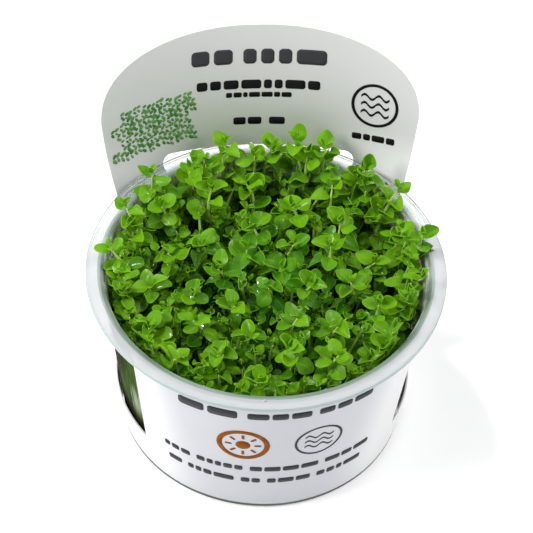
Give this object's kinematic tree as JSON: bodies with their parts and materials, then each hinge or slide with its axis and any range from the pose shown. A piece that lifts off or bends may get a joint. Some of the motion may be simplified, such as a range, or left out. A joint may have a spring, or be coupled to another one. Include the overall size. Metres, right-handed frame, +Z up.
{
  "type": "monte carlo carpet plant in a clear cup",
  "caption": "Dense carpet of small round-leaved aquarium plants growing on gel in a clear flanged plastic cup, with a card sleeve and a tall arched back card",
  "frame": {"origin": "the centre of the cup's flat underside, which stands on the surface", "axes": "+Z is up along the cup's axis, -Y is the front with the sleeve's front panel, +Y is the back with the tall back card, +X is to the right seen from the front"},
  "size_m": [0.1, 0.1078, 0.0948],
  "materials": {
    "clear_plastic": "clear thin moulded plastic, glossy",
    "label_card": "white coated card, satin, with plain grey and brown printed marks",
    "nutrient_gel": "wet translucent gel",
    "foliage": "fresh green leaves with a soft waxy sheen"
  },
  "bodies": {
    "root": {"cup": "clear_plastic", "label_sleeve": "label_card", "growth_medium": "nutrient_gel", "carpet_mat": "foliage", "plantlet_01": "foliage", "plantlet_02": "foliage", "plantlet_03": "foliage", "plantlet_04": "foliage", "plantlet_05": "foliage", "plantlet_06": "foliage", "plantlet_07": "foliage", "plantlet_08": "foliage", "plantlet_09": "foliage", "plantlet_10": "foliage", "plantlet_11": "foliage", "plantlet_12": "foliage", "plantlet_13": "foliage", "plantlet_14": "foliage", "plantlet_15": "foliage", "plantlet_16": "foliage", "plantlet_17": "foliage", "plantlet_18": "foliage", "plantlet_19": "foliage", "plantlet_20": "foliage", "plantlet_21": "foliage", "plantlet_22": "foliage", "plantlet_23": "foliage", "plantlet_24": "foliage", "plantlet_25": "foliage", "plantlet_26": "foliage", "plantlet_27": "foliage", "plantlet_28": "foliage", "plantlet_29": "foliage", "plantlet_30": "foliage", "plantlet_31": "foliage", "plantlet_32": "foliage", "plantlet_33": "foliage", "plantlet_34": "foliage", "plantlet_35": "foliage", "plantlet_36": "foliage", "plantlet_37": "foliage", "plantlet_38": "foliage", "plantlet_39": "foliage", "plantlet_40": "foliage", "plantlet_41": "foliage", "plantlet_42": "foliage", "plantlet_43": "foliage", "plantlet_44": "foliage", "plantlet_45": "foliage"}
  },
  "joints": []
}
